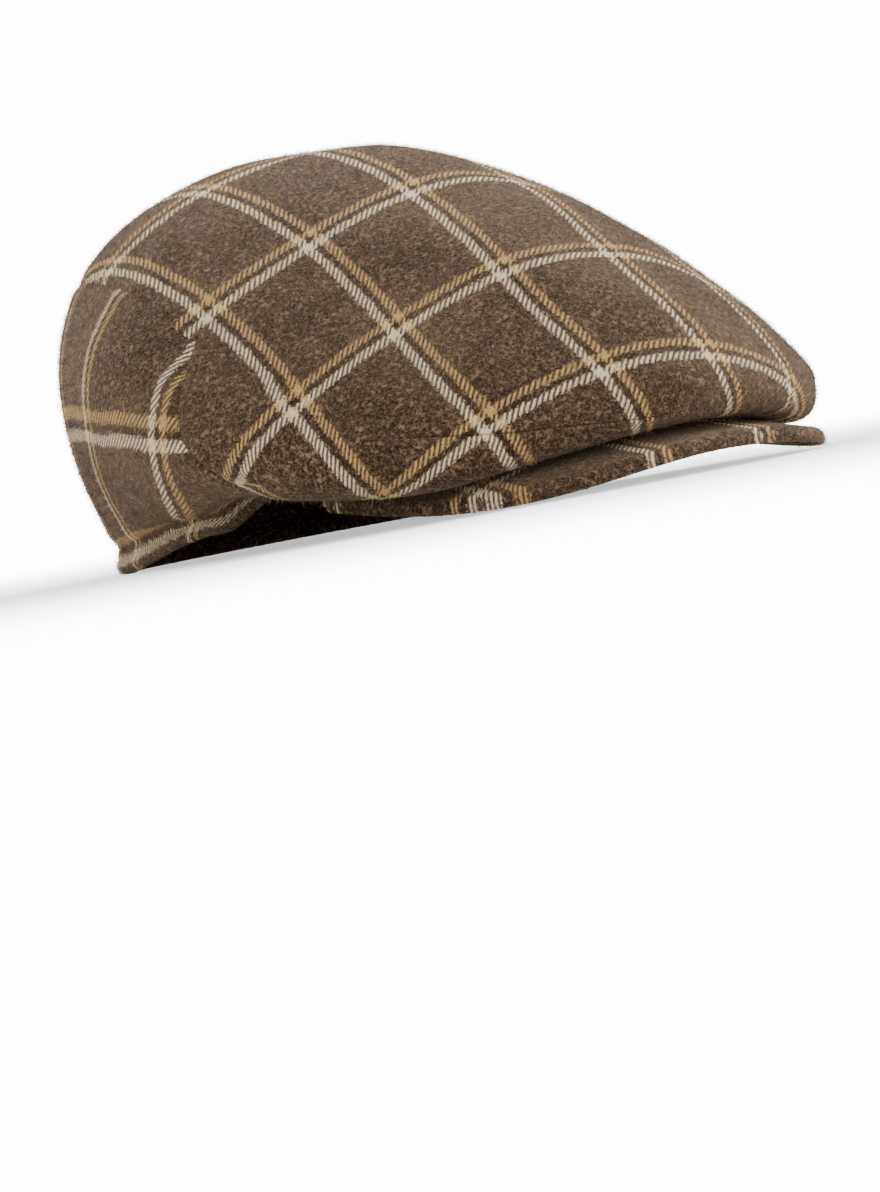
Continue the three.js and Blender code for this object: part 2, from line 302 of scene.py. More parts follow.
def crown_normal(turn, t):
    step = NORMAL_STEP
    last = np.where(hem_height(turn) > 0, HEM_END, HEM_START)
    along = crown_point(turn + step, t) - crown_point(turn - step, t)
    down = crown_point(turn, np.minimum(t + step, last)) - crown_point(turn, np.maximum(t - step, 1e-4))
    normal = unit(np.cross(along, down))
    flat = unit(normal * [1, 1, 0])
    normal = np.where((t > HEM_START)[..., None], flat, normal)
    at_pole = unit(np.array([0, -TOP_SLOPE, 1.0]))
    return np.where((t < 1e-3)[..., None], at_pole, normal)


def run_down(turn, t, steps=72):
    """The distance over the cloth from the pole, straight down the crown."""
    total = np.zeros(np.shape(t))
    before = crown_point(turn, t * 0)
    for step in range(1, steps + 1):
        here = crown_point(turn, t * step / steps)
        total += np.linalg.norm(here - before, axis=-1)
        before = here
    return total


def corner_turn(t):
    return (CORNER_TURN + (FOOT_TURN - CORNER_TURN) * smooth_step(*SEAM_SWINGS, t)) * DEGREE


def seam_step(turn):
    degrees = np.abs(turn) / DEGREE
    return TOP_SEAM + CORNER_DIP * (1 - smooth_step(CORNER_TURN, CORNER_TURN + CORNER_ROUND, degrees))


def wrapped(turn):
    return np.arctan2(np.sin(turn), np.cos(turn))


# Where the woven stripes run. In these maps white stripes are centred on whole numbers.
def top_plaid(turn, fall):
    """The top panel's cloth is blocked over the crown, nearly on the straight grain and turned 8 degrees."""
    ahead = fall * np.cos(turn) / TOP_UNIT
    right = fall * np.sin(turn) / TOP_UNIT
    long_set = TOP_LONG["start"] + TOP_LONG["right"] * right + TOP_LONG["ahead"] * ahead
    long_set = long_set + TOP_LONG["both"] * ahead * right + TOP_LONG["right_cubed"] * right**3
    in_front = np.maximum(ahead - TOP_LONG_FRONT["from"], 0)
    long_set = long_set + TOP_LONG_FRONT["squared"] * in_front**2
    by_seam = smooth_step(*LAST_STRIPE_TURN, turn / DEGREE) * smooth_step(*LAST_STRIPE_FALL, fall)
    bend = smooth_step(*LAST_STRIPE_BEND, fall)
    long_set = long_set + by_seam * (LAST_STRIPE_ABOVE * (1 - bend) + LAST_STRIPE_BELOW * bend)
    cross_set = TOP_CROSS["start"] + TOP_CROSS["ahead"] * ahead + TOP_CROSS["ahead_squared"] * ahead**2
    cross_set = cross_set + TOP_CROSS["right"] * right + TOP_CROSS["right_squared"] * right**2
    return np.stack([long_set, cross_set], -1)


def side_plaid(turn, below_seam, whole):
    """The side panel's cloth. One long stripe runs along the hem, and the next is half way up the panel."""
    degrees = np.abs(turn) / DEGREE
    middle = MIDDLE_STRIPE - MIDDLE_RISE * (1 - smooth_step(*MIDDLE_RISE_TURN, degrees))
    step = np.where(below_seam > middle, whole - HEM_STRIPE - middle, ABOVE_MIDDLE)
    long_set = (middle - below_seam) / step
    slant = SLANT_TOP["by"] * smooth_step(0, SLANT_TOP["to"], below_seam)
    low = np.maximum(below_seam, 0) / SLANT_LOW["at"]
    slant = slant + SLANT_LOW["by"] * low ** SLANT_LOW["power"]
    wider_top = hump(below_seam, 0, UPRIGHT_WIDER_TOP["within"])
    wider_low = smooth_step(UPRIGHT_WIDER_LOW["from"], UPRIGHT_WIDER_LOW["to"], below_seam)
    spacing = UPRIGHT_SPACING + UPRIGHT_WIDER_TOP["by"] * wider_top + UPRIGHT_WIDER_LOW["by"] * wider_low
    at_side = (degrees - UPRIGHT_START - slant) / spacing
    at_back = BACK_STRIPE_NUMBER + (degrees - BACK_STRIPE) / BACK_SPACING
    share = smooth_step(*BACK_BLEND, degrees)
    return np.stack([long_set, at_side * (1 - share) + at_back * share], -1)


def peak_plaid(forward, across):
    turned = PEAK_STRIPE_TURN * (forward - PEAK_TURN_CENTRE)
    long_set = (PEAK_STRIPE_ACROSS - across + turned) / PEAK_REPEAT
    cross_set = (forward + PEAK_STRIPE_TURN * across - PEAK_STRIPE_AHEAD) / CROSS_REPEAT
    return np.stack([long_set, cross_set], -1)


# Small forms that the cloth has beyond the solids
def soft_lumps(points, inside, t, ends):
    """Slow unevenness of thick cloth over its lining, which ends at the seams and towards the hem."""
    x, y, z = np.moveaxis(points, -1, 0)
    short = 0.32 * np.sin(x / 9.1 + 1.3 * np.sin(y / 17 + 0.4) + 0.6)
    short = short * np.sin(y / 11.7 + 0.9 * np.sin(x / 21) + z / 14)
    long = 0.3 * np.sin((x + 1.7 * y) / 23 + 1.1) * np.sin((1.3 * x - y + z) / 19 + 2.0)
    return (short + long) * smooth_step(0, LUMP_MARGIN, inside) * (1 - smooth_step(*ends, t))


def seam_relief(distance, along):
    """How the cloth turns in at a sewn edge, with the slight pucker of its stitches."""
    groove = -SEAM_GROOVE["depth"] * hump(distance, 0, SEAM_GROOVE["width"])
    swell = SEAM_SWELL["height"] * hump(distance, SEAM_SWELL["at"], SEAM_SWELL["width"])
    stitches = np.sin(along * 2 * np.pi / SEAM_PUCKER["length"])
    pucker = SEAM_PUCKER["height"] * stitches * hump(distance, 0, SEAM_PUCKER["width"])
    return groove + swell + pucker


def share_both_ends(count, ease):
    """Even steps from 0 to 1, drawn together at both ends."""
    share = np.linspace(0, 1, count + 1)
    return share - ease * np.sin(2 * np.pi * share) / (2 * np.pi)


def share_far_end(count, ease):
    share = np.linspace(0, 1, count + 1)
    return (1 - ease) * share + ease * np.sin(share * np.pi / 2)


def make_mesh(name, points, faces, uvs, material):
    """A mesh in metres from points in millimetres, with one plaid coordinate to a point."""
    mesh = bpy.data.meshes.new(name)
    mesh.from_pydata((points * MM).tolist(), [], faces)
    layer = mesh.uv_layers.new(name="plaid")
    corners = np.empty(len(mesh.loops), dtype=np.int32)
    mesh.loops.foreach_get("vertex_index", corners)
    layer.uv.foreach_set("vector", uvs[corners].astype(np.float32).ravel())
    mesh.materials.append(material)
    mesh.validate()
    mesh.shade_smooth()
    mesh.set_sharp_from_angle(angle=50 * DEGREE)
    piece = bpy.data.objects.new(name, mesh)
    bpy.context.scene.collection.objects.link(piece)
    return piece


def sheet_faces(keep, wraps, pole):
    """The grid places in use, and the faces of a sheet with a wall. Each place has two points, the
    outer and then the inner one. Cells that keep leaves out stay open."""
    rows, columns = keep.shape
    ids, picked, faces = {}, [], []

    def corner(row, column):
        column = column % columns if wraps else column
        key = (0, 0) if pole and row == 0 else (row, column)
        if key not in ids:
            ids[key] = 2 * len(picked)
            picked.append(key)
        return ids[key]

    def kept(row, column):
        if wraps:
            column %= columns
        return 0 <= row < rows and 0 <= column < columns and keep[row, column]

    for row in range(rows):
        for column in range(columns):
            if not keep[row, column]:
                continue
            a, b = corner(row, column), corner(row, column + 1)
            c, d = corner(row + 1, column + 1), corner(row + 1, column)
            ring = [a, d, c, b] if a != b else [a, d, c]
            faces.append(ring[::-1])
            faces.append([v + 1 for v in ring])
            sides = [
                (a, b, row - 1, column),
                (b, c, row, column + 1),
                (c, d, row + 1, column),
                (d, a, row, column - 1),
            ]
            for start, end, next_row, next_column in sides:
                if start != end and not kept(next_row, next_column):
                    faces.append([end, start, start + 1, end + 1])
    return picked, faces


def sheet_mesh(name, outer, inner, uvs, keep, wraps, pole, material):
    """A sheet of cloth with a wall, from the grids of its outer and inner places."""
    picked, faces = sheet_faces(keep, wraps, pole)
    places = tuple(np.array(picked).T)
    points = np.stack([outer[places], inner[places]], 1).reshape(-1, 3)
    sheet = make_mesh(name, points, faces, np.repeat(uvs[places], 2, axis=0), material)
    plain_inside(sheet)
    return sheet


def plain_inside(sheet):
    """The inside is plain: its plaid coordinates all lie between the stripes."""
    spread = sheet.data.uv_layers["plaid"].uv
    for face in sheet.data.polygons:
        if all(vertex % 2 for vertex in face.vertices):
            for loop in face.loop_indices:
                spread[loop].vector = BETWEEN_STRIPES


def hem_relief(turn, t):
    """The rolled hem stands out below a crease, and the cloth above it bags over it."""
    degrees = np.abs(turn) / DEGREE
    there = smooth_step(*HEM_RELIEF_TURNS, degrees)
    crease = -HEM_CREASE["depth"] * hump(t, HEM_CREASE["at"], HEM_CREASE["width"])
    round_roll = np.clip((t - HEM_ROLL["from"]) / HEM_ROLL["length"], 0, 1)
    roll = HEM_ROLL["height"] * np.sin(np.pi * round_roll)
    bag = HEM_BAG["height"] * hump(t, HEM_BAG["at"], HEM_BAG["width"])
    bag = bag * (1 - smooth_step(*HEM_BAG["ends"], degrees))
    return there * (crease + roll + bag)


def rounded_hem(place, normal, relief, t):
    """Both faces of the side cloth, which is turned up inside and rounded at its foot."""
    past = np.clip((t - HEM_ROUND_START) / (HEM_END - HEM_ROUND_START), 0, 1)
    round_off = HEM_ROUND * (1 - np.sqrt(1 - past**2))
    turned_up = HEM_TURNED_UP * smooth_step(*HEM_TURNS_UP, t)
    outer = place + normal * (relief - round_off)[..., None]
    inner = place - normal * (WALL + turned_up - round_off * HEM_ROUND_INSIDE)[..., None]
    return outer, inner


def crease_line(turn):
    """How far down the crown the stitched crease over the peak runs, as t."""
    degrees = turn / DEGREE
    side = CREASE_DROPS["side"] * smooth_step(*CREASE_DROPS["side_turns"], degrees)
    middle = CREASE_DROPS["middle"] * smooth_step(*CREASE_DROPS["middle_turns"], degrees)
    return CREASE_LEVEL + side + middle


def crease_relief(turn, t):
    """The stitched crease across the crown's front, where the cloth below it rolls over the peak."""
    degrees = turn / DEGREE
    length = smooth_step(*CREASE_ENDS["near"], degrees) * smooth_step(*CREASE_ENDS["far"], degrees)
    offset = (t - crease_line(turn)) / CREASE_WIDTH
    roll = CREASE_ROLL["height"] * hump(offset, CREASE_ROLL["at"], CREASE_ROLL["width"])
    return length * (roll - CREASE_DEPTH * hump(offset, 0, 1))


def crease_rows(count):
    """Even steps from 0 to 1, drawn together where the crease runs."""
    fine = np.linspace(0, 1, 2001)
    weight = 1 + 5 * hump(fine, CREASE_ROW, 0.028) + 0.8 * hump(fine, 0, 0.05)
    reached = np.concatenate([[0], np.cumsum((weight[1:] + weight[:-1]) / 2)])
    return np.interp(np.linspace(0, 1, count + 1), reached / reached[-1], fine)


def follow_crease(turn, share):
    """Places between the seam and the hem, as t, with the crease's own row on the crease."""
    line = crease_line(turn)
    above = FRONT_START + (line - FRONT_START) * share / CREASE_ROW
    below = line + (HEM_START - line) * (share - CREASE_ROW) / (1 - CREASE_ROW)
    return np.where(share < CREASE_ROW, above, below)


def top_panel(material):
    upper = TOP_SEAM * share_far_end(TOP_UPPER_ROWS, ease=0.85)
    lower_share = crease_rows(TOP_LOWER_ROWS)
    lower = FRONT_START + (HEM_START - FRONT_START) * lower_share
    steps = np.concatenate([upper, lower[1:]])[:, None]
    share = np.concatenate([upper * 0, lower_share[1:]])[:, None]
    edge = corner_turn(steps) - np.where(steps >= TOP_SEAM, SEAM_SHARE * SEAM_CLOSED, 0)
    ahead = edge * (2 * share_both_ends(TOP_FRONT_COLUMNS, ease=0.75)[None, :] - 1)
    behind = edge + 2 * (np.pi - edge) * share_both_ends(TOP_BACK_COLUMNS, ease=0.4)[None, 1:-1]
    turn = wrapped(np.concatenate([ahead, behind], 1))
    column = np.arange(turn.shape[1])[None, :]
    row = np.arange(turn.shape[0])[:, None]
    along_back = (row == TOP_UPPER_ROWS) & ((column == 0) | (column >= TOP_FRONT_COLUMNS))
    seam = seam_step(turn)
    above_seam = steps / TOP_SEAM * seam - np.where(along_back, SEAM_SHARE * SEAM_CLOSED, 0)
    held = smooth_step(*CREASE_HELD, np.abs(turn) / DEGREE)
    below_seam = follow_crease(turn, share) * (1 - held) + steps * held
    t = np.where(row <= TOP_UPPER_ROWS, above_seam, below_seam)
    keep = (row[:-1] < TOP_UPPER_ROWS) | (column < TOP_FRONT_COLUMNS)
    place = crown_point(turn, t)
    normal = crown_normal(turn, t)
    fall = run_down(turn, t)
    radius = np.hypot(place[..., 0], place[..., 1] - POLE_Y)
    beside = (corner_turn(t) - np.abs(turn)) * radius
    above = run_down(turn, seam) - fall
    inside = np.where(beside > 0, np.where(above > 0, np.hypot(beside, above), beside), above)
    relief = seam_relief(np.maximum(inside, 0), radius * turn + fall)
    relief = relief + crease_relief(turn, t)
    relief = relief + soft_lumps(place, inside, t, TOP_LUMPS_END)
    outer = place + normal * relief[..., None]
    inner = place - normal * WALL
    return sheet_mesh("crown_top_cloth", outer, inner, top_plaid(turn, fall), keep, True, True, material)


def side_panel(name, side, material):
    in_panel = share_both_ends(SIDE_ROWS, ease=0.6)
    in_hem = share_both_ends(SIDE_HEM_ROWS, ease=0.4)
    shares = np.concatenate([in_panel, 1 + in_hem[1:]])[:, None]
    panel = FRONT_START + (HEM_START - FRONT_START) * shares
    level = np.where(shares <= 1, panel, HEM_START + (HEM_END - HEM_START) * (shares - 1))
    front = corner_turn(level) + SEAM_SHARE * SEAM_CLOSED
    back = np.pi - SEAM_SHARE * SEAM_CLOSED
    across = share_both_ends(SIDE_COLUMNS, ease=0.6)[None, :]
    turn = front + (back - front) * (across if side < 0 else across[:, ::-1])
    turn = -side * turn
    start = seam_step(turn) + SEAM_SHARE * SEAM_CLOSED
    t = np.where(shares <= 1, start + (HEM_START - start) * shares, level)
    place = crown_point(turn, t)
    normal = crown_normal(turn, t)
    radius = np.hypot(place[..., 0], place[..., 1] - POLE_Y)
    below = run_down(turn, t) - run_down(turn, start)
    whole = run_down(turn, t * 0 + HEM_END) - run_down(turn, start)
    beside = (np.abs(turn) - corner_turn(t)) * radius
    behind = (np.pi - np.abs(turn)) * radius
    inside = np.minimum(np.minimum(below, beside), behind)
    relief = seam_relief(np.maximum(inside, 0), radius * turn + below) + hem_relief(turn, t)
    relief = relief + soft_lumps(place, inside, t, SIDE_LUMPS_END)
    outer, inner = rounded_hem(place, normal, relief, t)
    keep = np.ones((len(shares) - 1, SIDE_COLUMNS), dtype=bool)
    return sheet_mesh(name, outer, inner, side_plaid(turn, below, whole), keep, False, False, material)


def peak_section(share):
    edge_forward, edge_across = peak_edge(share * PEAK_END)
    turn = share * PEAK_INNER_TURN * DEGREE
    rim = RIM_REACH * form_at("rim", turn) - PEAK_TUCK
    inner_forward, inner_across = rim * np.cos(turn) - POLE_Y, rim * np.sin(turn)
    width = np.hypot(edge_forward - inner_forward, edge_across - inner_across)
    thickness = peak_thickness(np.arctan2(edge_across, edge_forward + POLE_Y))
    return (edge_forward, edge_across), (inner_forward, inner_across), width, thickness


def peak_place(edge, inner, width, inset, height):
    share = inset / width
    forward = edge[0] + (inner[0] - edge[0]) * share
    across = edge[1] + (inner[1] - edge[1]) * share
    return np.stack([-across, -forward, peak_underside(forward, across) + height], -1)


def looped_mesh(name, loops, uvs, material):
    """A closed skin round a row of sections, each a loop of the same number of points."""
    stations, count = loops.shape[:2]
    faces = []
    for station in range(stations - 1):
        for index in range(count):
            a, b = station * count + index, station * count + (index + 1) % count
            faces.append([a, a + count, b + count, b])
    faces.append(list(range(count)))
    faces.append(list(range((stations - 1) * count, stations * count))[::-1])
    return make_mesh(name, loops.reshape(-1, 3), faces, uvs.reshape(-1, 2), material)


def peak_profile(width, thickness):
    """The section of the wrapped board: flat on top, rounded over the edge and turned in under it."""
    lip = min(LIP, width * LIP_SHARE)
    bow = 0.5 * thickness
    roll = min(bow, lip * 0.6)
    turns = np.linspace(90, 270, PEAK_EDGE_STEPS) * DEGREE
    shares = np.linspace(1, PEAK_TOP_REACH, PEAK_TOP_STEPS)
    top = [(roll + (width - roll) * share, thickness) for share in shares]
    round_edge = [(roll + roll * math.cos(turn), bow + bow * math.sin(turn)) for turn in turns]
    under = [(roll + (lip - roll) * share, 0) for share in (0.3, 0.6, 0.85)]
    between = lip + (width - lip) * 0.4
    fold = [(lip, PEAK_FOLD), (lip, UNDER_RECESS), (between, UNDER_RECESS), (width, UNDER_RECESS)]
    return np.array(top + round_edge + under + fold).T


def peak(material):
    """The board wrapped in plaid cloth. Its ends are rounded."""
    sections = []
    for share in np.linspace(-1, 1, PEAK_SECTIONS):
        edge, inner, width, thickness = peak_section(share)
        insets, heights = peak_profile(width, thickness)
        into_end = max((abs(share) - 1 + PEAK_END_ROUND) / PEAK_END_ROUND, 0)
        fullness = math.sqrt(max(1 - into_end**2, PEAK_END_LEFT))
        above = heights - UNDER_RECESS
        heights = np.where(above > 0, UNDER_RECESS + above * fullness, heights)
        sections.append(peak_place(edge, inner, width, insets, heights))
    loops = np.array(sections)
    spread = peak_plaid(-loops[..., 1], -loops[..., 0])
    return looped_mesh("peak_cloth", loops, spread, material)


def under_cloth(material):
    sections = []
    for share in np.linspace(-UNDER_END, UNDER_END, UNDER_SECTIONS):
        edge, inner, width, _ = peak_section(share)
        outer = min(LIP, width * LIP_SHARE) + UNDER_GAP
        insets = np.linspace(width - UNDER_MARGIN, outer, UNDER_STEPS)
        swell = UNDER_SWELL * np.sin(np.linspace(0, np.pi, UNDER_STEPS))
        over = peak_place(edge, inner, width, insets, UNDER_CLOTH)
        beneath = peak_place(edge, inner, width, insets[::-1], -swell)
        sections.append(np.concatenate([over, beneath]))
    loops = np.array(sections)
    return looped_mesh("peak_underside", loops, loops[..., :2] / LONG_REPEAT, material)


class Nodes:
    """Short ways to lay the nodes of one material."""

    def __init__(self, name):
        self.material = bpy.data.materials.new(name)
        self.material.use_nodes = True
        self.tree = self.material.node_tree
        self.shader = self.tree.nodes["Principled BSDF"]

    def put(self, target, value):
        if isinstance(value, bpy.types.NodeSocket):
            self.tree.links.new(value, target)
        else:
            target.default_value = value

    def add(self, kind, **settings):
        node = self.tree.nodes.new(kind)
        for key, value in settings.items():
            setattr(node, key, value)
        return node

    def math(self, operation, *values, clamp=False):
        node = self.add("ShaderNodeMath", operation=operation, use_clamp=clamp)
        for socket, value in zip(node.inputs, values):
            self.put(socket, value)
        return node.outputs[0]

    def ramp(self, value, start, end, low=0.0, high=1.0):
        node = self.add("ShaderNodeMapRange", interpolation_type="SMOOTHSTEP")
        for socket, number in zip(node.inputs, (value, start, end, low, high)):
            self.put(socket, number)
        return node.outputs[0]

    def mix(self, factor, first, second):
        node = self.add("ShaderNodeMix", data_type="RGBA")
        self.put(node.inputs["Factor"], factor)
        self.put(node.inputs["A"], first)
        self.put(node.inputs["B"], second)
        return node.outputs["Result"]

    def noise(self, vector, scale, detail=2.0, roughness=0.5, distortion=0.0):
        node = self.add("ShaderNodeTexNoise")
        self.put(node.inputs["Vector"], vector)
        self.put(node.inputs["Scale"], scale)
        self.put(node.inputs["Detail"], detail)
        self.put(node.inputs["Roughness"], roughness)
        self.put(node.inputs["Distortion"], distortion)
        return node.outputs["Fac"]

    def stretched(self, vector, scale, turn=(0, 0, 0)):
        node = self.add("ShaderNodeMapping")
        self.put(node.inputs["Vector"], vector)
        self.put(node.inputs["Scale"], scale)
        self.put(node.inputs["Rotation"], turn)
        return node.outputs["Vector"]


def rgb(red, green, blue):
    """A colour given as screen values from 0 to 255."""
    linear = [((v / 255 + 0.055) / 1.055) ** 2.4 if v > 10 else v / 255 / 12.92 for v in (red, green, blue)]
    return (*linear, 1.0)


FIBRE_DARK = rgb(26, 16, 10)
FIBRE_BROWN = rgb(79, 57, 40)
FIBRE_LIGHT = rgb(165, 137, 107)
OUTLINE = rgb(47, 34, 20)
WHITE_YARN = rgb(255, 232, 196)
GOLD_YARN = rgb(220, 180, 112)
WHITE_COVER = 0.97
GOLD_COVER = 0.9
# The stripes' colour is multiplied between these: random tone, with painted shade between the fibres at the
# low end
STRIPE_TONE_AND_SHADE = (0.72, 1.3)
WANDER = {"scale": 260, "detail": 2, "reach": 1.6}
HAIR = {"scale": 1600, "detail": 1, "reach": 2.7}
BRUSHED_DARK = rgb(86, 71, 58)
BRUSHED_LIGHT = rgb(146, 129, 112)
BRUSHED_PATCH = rgb(93, 78, 65)
SHEEN_COLOUR = rgb(240, 216, 188)


def stripe_colour(nodes, across, gold_side, ground, fuzz):
    """The colour of one set of yarns: a white and a gold stripe with dark yarns between and beside them."""
    across = nodes.math("ADD", across, fuzz)
    gold_at = GOLD_OFFSET * gold_side
    from_middle = nodes.math("ABSOLUTE", nodes.math("SUBTRACT", across, gold_at / 2))
    reach = GOLD_OFFSET / 2 + WHITE_WIDTH / 2
    beside = nodes.ramp(from_middle, reach + 0.9, reach - 0.5, 0.0, 0.4)
    between = nodes.ramp(from_middle, 1.9, 0.7, 0.0, 0.72)
    dark = nodes.math("MAXIMUM", beside, between)
    white = nodes.ramp(nodes.math("ABSOLUTE", across), WHITE_WIDTH / 2 + 0.35, WHITE_WIDTH / 2 - 0.45)
    from_gold = nodes.math("ABSOLUTE", nodes.math("SUBTRACT", across, gold_at))
    gold = nodes.ramp(from_gold, GOLD_WIDTH / 2 + 0.35, GOLD_WIDTH / 2 - 0.45)
    colour = nodes.mix(dark, ground, OUTLINE)
    colour = nodes.mix(nodes.math("MULTIPLY", gold, GOLD_COVER), colour, GOLD_YARN)
    colour = nodes.mix(nodes.math("MULTIPLY", white, WHITE_COVER), colour, WHITE_YARN)
    return colour, nodes.math("MAXIMUM", white, gold)


def repeat_distance(nodes, value, repeat):
    """Millimetres from the nearest whole number of a plaid coordinate."""
    share = nodes.math("FRACT", nodes.math("ADD", value, 0.5))
    return nodes.math("MULTIPLY", nodes.math("SUBTRACT", share, 0.5), repeat)


def curled_fibres(nodes, place, offset, scale, width):
    """Thin curly lines, where a wound noise crosses its middle."""
    moved = nodes.add("ShaderNodeMapping")
    nodes.put(moved.inputs["Vector"], place)
    nodes.put(moved.inputs["Location"], (offset, offset * 0.7, -offset))
    curls = nodes.noise(moved.outputs["Vector"], scale, 1.5, 0.5, 1.6)
    return nodes.ramp(nodes.math("ABSOLUTE", nodes.math("SUBTRACT", curls, 0.5)), width, 0.0)


def melange(nodes, place, fine):
    """Brown wool of dark, middle and light fibres, with curls of light ones on top."""
    mottled = nodes.noise(place, 700, 3, 0.65, 0.5)
    patch = nodes.noise(place, 95, 3, 0.6)
    slow = nodes.noise(place, 24, 2, 0.5)
    ground = nodes.mix(nodes.ramp(fine, 0.4, 0.58), FIBRE_DARK, FIBRE_BROWN)
    ground = nodes.mix(nodes.ramp(mottled, 0.5, 0.68, 0.0, 0.7), ground, FIBRE_LIGHT)
    ground = nodes.mix(nodes.ramp(mottled, 0.48, 0.34, 0.0, 0.6), ground, FIBRE_DARK)
    thick = curled_fibres(nodes, place, 0.0, 480, 0.028)
    thin = curled_fibres(nodes, place, 0.31, 760, 0.036)
    curls = nodes.math("MAXIMUM", thick, thin)
    curls = nodes.math("MULTIPLY", curls, nodes.ramp(fine, 0.3, 0.6, 0.1, 0.62))
    ground = nodes.mix(curls, ground, FIBRE_LIGHT)
    ground = nodes.mix(nodes.ramp(patch, 0.42, 0.66, 0.0, 0.3), ground, FIBRE_DARK)
    return nodes.mix(nodes.ramp(slow, 0.4, 0.68, 0.0, 0.1), ground, FIBRE_LIGHT), curls, patch


def about_zero(nodes, place, scale, detail, reach):
    """A noise that goes as far below zero as above it."""
    return nodes.math("MULTIPLY", nodes.math("SUBTRACT", nodes.noise(place, scale, detail), 0.5), reach)


def twill(nodes, u, v, wander, hair):
    """The wave of the diagonal ribs, and the share of the long yarns that lies on top."""
    run = nodes.math("ADD", nodes.math("MULTIPLY", u, LONG_REPEAT), nodes.math("MULTIPLY", v, CROSS_REPEAT))
    run = nodes.math("ADD", run, nodes.math("MULTIPLY", wander, 0.5))
    wave = nodes.math("SINE", nodes.math("MULTIPLY", run, 2 * math.pi / TWILL_STEP))
    rough_wave = nodes.math("ADD", wave, nodes.math("MULTIPLY", hair, 0.5))
    return wave, nodes.ramp(rough_wave, -0.65, 0.65, 0.06, 0.94)


def stripes_with_painted_shade(nodes, cloth, stripes, fine):
    """The white and gold yarns vary in tone at random, and their darker places are painted shade between the
    fibres.
    """
    grey = nodes.add("ShaderNodeCombineColor")
    # Painted shade between the fibres, mixed with random tone, drawn from the fine noise
    tone_and_painted_shade = nodes.ramp(fine, 0.36, 0.62, *STRIPE_TONE_AND_SHADE)
    for socket in grey.inputs[:3]:
        nodes.put(socket, tone_and_painted_shade)
    tone = nodes.add("ShaderNodeMix", data_type="RGBA", blend_type="MULTIPLY")
    nodes.put(tone.inputs["Factor"], nodes.math("MULTIPLY", stripes, 0.9))
    nodes.put(tone.inputs["A"], cloth)
    nodes.put(tone.inputs["B"], grey.outputs[0])
    return tone.outputs["Result"]


def set_bump(nodes, height, strength, distance):
    bump = nodes.add("ShaderNodeBump")
    nodes.put(bump.inputs["Height"], height)
    nodes.put(bump.inputs["Strength"], strength)
    nodes.put(bump.inputs["Distance"], distance)
    nodes.put(nodes.shader.inputs["Normal"], bump.outputs[0])


def wool_material():
    nodes = Nodes("plaid_wool")
    spread = nodes.add("ShaderNodeUVMap", uv_map="plaid").outputs["UV"]
    place = nodes.add("ShaderNodeTexCoord").outputs["Object"]
    split = nodes.add("ShaderNodeSeparateXYZ")
    nodes.put(split.inputs[0], spread)
    u, v = split.outputs["X"], split.outputs["Y"]

    wander = about_zero(nodes, place, **WANDER)
    hair = about_zero(nodes, place, **HAIR)
    fuzz = nodes.math("ADD", wander, hair)
    fine = nodes.noise(place, 1500, 2, 0.65, 0.6)
    ground, curls, patch = melange(nodes, place, fine)

    x = repeat_distance(nodes, u, LONG_REPEAT)
    y = repeat_distance(nodes, v, CROSS_REPEAT)
    long_colour, long_stripe = stripe_colour(nodes, x, 1, ground, fuzz)
    cross_colour, cross_stripe = stripe_colour(nodes, y, -1, ground, fuzz)

    wave, long_on_top = twill(nodes, u, v, wander, hair)
    cloth = nodes.mix(long_on_top, cross_colour, long_colour)
    stripes = nodes.math("MAXIMUM", long_stripe, cross_stripe)
    nodes.put(nodes.shader.inputs["Base Color"], stripes_with_painted_shade(nodes, cloth, stripes, fine))

    ribs = nodes.math("MULTIPLY", wave, nodes.math("ADD", nodes.math("MULTIPLY", stripes, 0.5), 0.16))
    height = nodes.math("ADD", ribs, nodes.math("MULTIPLY", fine, 2.2))
    height = nodes.math("ADD", height, nodes.math("MULTIPLY", curls, 0.6))
    height = nodes.math("ADD", height, nodes.math("MULTIPLY", patch, 1.8))
    set_bump(nodes, height, 0.85, 0.0004)
    finish_cloth(nodes, 0.36)
    return nodes.material


def finish_cloth(nodes, sheen):
    """Dull wool with the soft shine of its nap."""
    nodes.shader.inputs["Roughness"].default_value = 0.95
    nodes.shader.inputs["Specular IOR Level"].default_value = 0.15
    nodes.shader.inputs["Sheen Weight"].default_value = sheen
    nodes.shader.inputs["Sheen Roughness"].default_value = 0.22
    nodes.shader.inputs["Sheen Tint"].default_value = SHEEN_COLOUR


def brushed_material():
    nodes = Nodes("under_cloth")
    place = nodes.add("ShaderNodeTexCoord").outputs["Object"]
    strands = nodes.noise(nodes.stretched(place, (1, 0.22, 1), (0, 0, 0.5)), 1300, 3, 0.6, 0.8)
    patch = nodes.noise(place, 90, 3, 0.6, 0.6)
    colour = nodes.mix(nodes.ramp(strands, 0.3, 0.7), BRUSHED_DARK, BRUSHED_LIGHT)
    colour = nodes.mix(nodes.ramp(patch, 0.35, 0.7, 0.0, 0.4), colour, BRUSHED_PATCH)
    nodes.put(nodes.shader.inputs["Base Color"], colour)
    set_bump(nodes, nodes.math("ADD", strands, nodes.math("MULTIPLY", patch, 2.0)), 0.7, 0.0003)
    finish_cloth(nodes, 0.3)
    return nodes.material


# Nap: short fibres that stand off the cloth
NAP_COUNT_TOP = 46000
NAP_COUNT_SIDES = 40000
NAP_SEED_TOP = 11
NAP_SEED_SIDES = 12
NAP_LENGTH = (1.0, 3.3)
NAP_SHORTEN = (0.45, 1.0)
NAP_LEAN_ALONG = (0.3, 1.6)
NAP_LEAN_OUT = (0.35, 1.5)
NAP_WIDTH = 0.11
NAP_ROOT = 0.12
NAP_CORNERS = (0, 2.1, 4.2)
NAP_LOWEST = 0.02
INSIDE_HEIGHT = 30
OUTWARD_LEAST = 0.15


